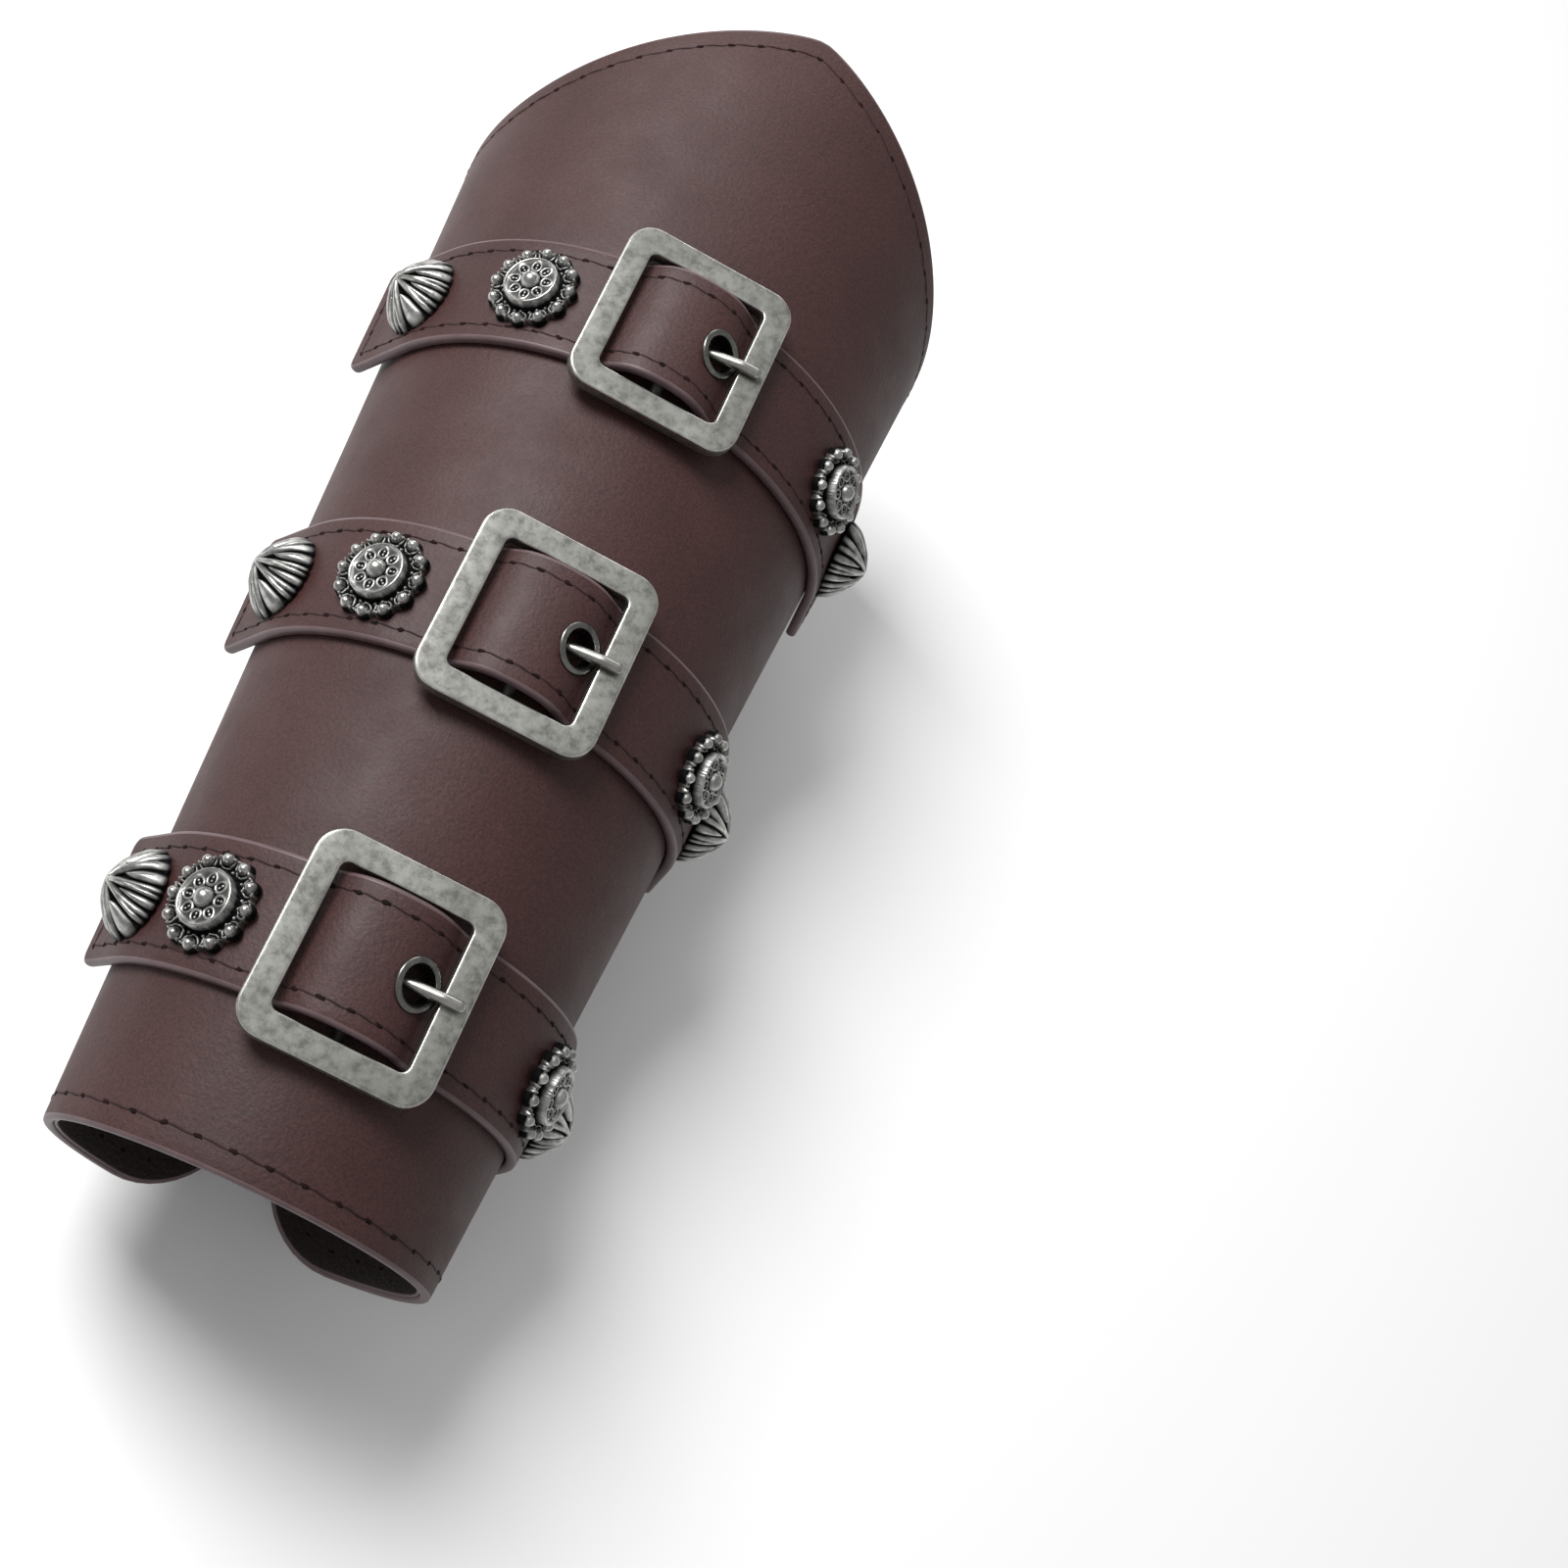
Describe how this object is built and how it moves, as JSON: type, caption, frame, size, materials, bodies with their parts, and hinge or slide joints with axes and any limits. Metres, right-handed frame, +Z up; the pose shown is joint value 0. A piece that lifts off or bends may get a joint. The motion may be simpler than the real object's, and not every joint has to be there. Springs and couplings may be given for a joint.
{
  "type": "vambrace",
  "caption": "Tapered leather forearm guard with a pointed elbow edge, buckled and studded straps over its crown, and cross lacing through eyelets down its open side.",
  "frame": {"origin": "middle of the bounding box's bottom face; the guard lies on its lacing side", "axes": "+Y along the arm towards the pointed elbow edge, +Z up out of the crown where the buckles sit, +X towards the side the prongs point to"},
  "size_m": [0.1198, 0.2566, 0.1122],
  "materials": {
    "body_leather": "smooth, slightly waxed dark brown",
    "strap_leather": "smooth dark brown with painted edges",
    "lining": "thin, crinkled, matt",
    "lace": "flat waxed braid",
    "buckle_nickel": "antique nickel, worn bright on the edges",
    "antique_silver": "antique silver with dark recesses",
    "gunmetal": "dark nickel, satin"
  },
  "bodies": {
    "guard": {"outer_shell": "body_leather", "lining": "lining", "lacing_eyelets_left": "gunmetal", "eyelet_washers_left": "gunmetal", "lacing_eyelets_right": "gunmetal", "eyelet_washers_right": "gunmetal", "lace": "lace", "lace_aglets": "gunmetal", "wrist_strap": "strap_leather", "wrist_strap_eyelet": "gunmetal", "wrist_left_shell": "antique_silver", "wrist_left_rosette": "antique_silver", "wrist_right_rosette": "antique_silver", "wrist_right_shell": "antique_silver", "wrist_stud_rivets": "gunmetal", "middle_strap": "strap_leather", "middle_strap_eyelet": "gunmetal", "middle_left_shell": "antique_silver", "middle_left_rosette": "antique_silver", "middle_right_rosette": "antique_silver", "middle_right_shell": "antique_silver", "middle_stud_rivets": "gunmetal", "elbow_strap": "strap_leather", "elbow_strap_eyelet": "gunmetal", "elbow_left_shell": "antique_silver", "elbow_left_rosette": "antique_silver", "elbow_right_rosette": "antique_silver", "elbow_right_shell": "antique_silver", "elbow_stud_rivets": "gunmetal"},
    "wrist_buckle": {"wrist_buckle_frame": "buckle_nickel"},
    "wrist_prong": {"wrist_buckle_prong": "buckle_nickel"},
    "middle_buckle": {"middle_buckle_frame": "buckle_nickel"},
    "middle_prong": {"middle_buckle_prong": "buckle_nickel"},
    "elbow_buckle": {"elbow_buckle_frame": "buckle_nickel"},
    "elbow_prong": {"elbow_buckle_prong": "buckle_nickel"}
  },
  "joints": [
    {"name": "wrist_frame_rock", "type": "hinge", "parent": "guard", "child": "wrist_buckle", "pos_m": [-0.0009, -0.08854, 0.08384], "axis": [0, 0.99, 0.1408], "range_deg": [-1.2, 1.2]},
    {"name": "wrist_prong_lift", "type": "hinge", "parent": "wrist_buckle", "child": "wrist_prong", "pos_m": [-0.0009, -0.08854, 0.08384], "axis": [0, -0.99, -0.1408], "range_deg": [0, 4]},
    {"name": "middle_frame_rock", "type": "hinge", "parent": "guard", "child": "middle_buckle", "pos_m": [-0.0009, -0.02214, 0.09328], "axis": [0, 0.99, 0.1408], "range_deg": [-1.2, 1.2]},
    {"name": "middle_prong_lift", "type": "hinge", "parent": "middle_buckle", "child": "middle_prong", "pos_m": [-0.0009, -0.02214, 0.09328], "axis": [0, -0.99, -0.1408], "range_deg": [0, 4]},
    {"name": "elbow_frame_rock", "type": "hinge", "parent": "guard", "child": "elbow_buckle", "pos_m": [-0.0009, 0.04505, 0.10284], "axis": [0, 0.99, 0.1408], "range_deg": [-1.2, 1.2]},
    {"name": "elbow_prong_lift", "type": "hinge", "parent": "elbow_buckle", "child": "elbow_prong", "pos_m": [-0.0009, 0.04505, 0.10284], "axis": [0, -0.99, -0.1408], "range_deg": [0, 4]}
  ]
}
